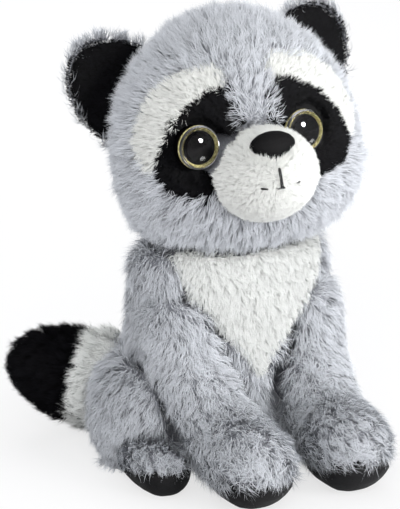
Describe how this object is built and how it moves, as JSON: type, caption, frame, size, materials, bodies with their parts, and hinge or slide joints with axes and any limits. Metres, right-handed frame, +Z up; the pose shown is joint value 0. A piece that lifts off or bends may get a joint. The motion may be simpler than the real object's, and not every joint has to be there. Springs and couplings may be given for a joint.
{
  "type": "plush raccoon",
  "caption": "Sitting plush raccoon with a turned head, domed safety eyes, dark eye masks, a pale bib and muzzle, dark soles and a ringed tail.",
  "frame": {"origin": "on the floor plane, in the middle of the flat underside of the seat, between the haunches", "axes": "+Z up; the raccoon looks along -Y; its left side is +X"},
  "size_m": [0.1713, 0.2064, 0.2439],
  "materials": {
    "grey_plush": "long-pile plush, cool light grey, mottled",
    "white_plush": "long-pile plush, off-white",
    "black_plush": "long-pile plush, black",
    "white_pile": "short-pile plush, off-white",
    "black_pile": "short-pile plush, black",
    "nose_fabric": "smooth black knit",
    "sole_velour": "smooth black velour",
    "thread": "black embroidery thread",
    "eye_clear": "clear moulded plastic dome, polished",
    "eye_gold": "gold glitter disc",
    "eye_black": "black moulded plastic, gloss",
    "washer_plastic": "white moulded plastic"
  },
  "bodies": {
    "root": {"head": "grey_plush", "torso": "grey_plush", "chest_bib": "white_plush", "muzzle": "white_pile", "nose": "nose_fabric", "mouth_stitch": "thread", "eye_mask_left": "black_pile", "eye_mask_right": "black_pile", "brow_patch_left": "white_pile", "brow_patch_right": "white_pile", "ear_back_left": "grey_plush", "ear_back_right": "grey_plush", "ear_front_left": "black_pile", "ear_front_right": "black_pile", "eye_dome_left": "eye_clear", "eye_dome_right": "eye_clear", "eye_iris_left": "eye_gold", "eye_iris_right": "eye_gold", "eye_pupil_left": "eye_black", "eye_pupil_right": "eye_black", "eye_washer_left": "washer_plastic", "eye_washer_right": "washer_plastic", "front_leg_left": "grey_plush", "front_leg_right": "grey_plush", "front_sole_left": "sole_velour", "front_sole_right": "sole_velour", "haunch_left": "grey_plush", "haunch_right": "grey_plush", "hind_foot_left": "grey_plush", "hind_foot_right": "grey_plush", "hind_sole_left": "sole_velour", "hind_sole_right": "sole_velour", "tail_root": "grey_plush", "tail_ring": "white_plush", "tail_tip": "black_plush"}
  },
  "joints": []
}
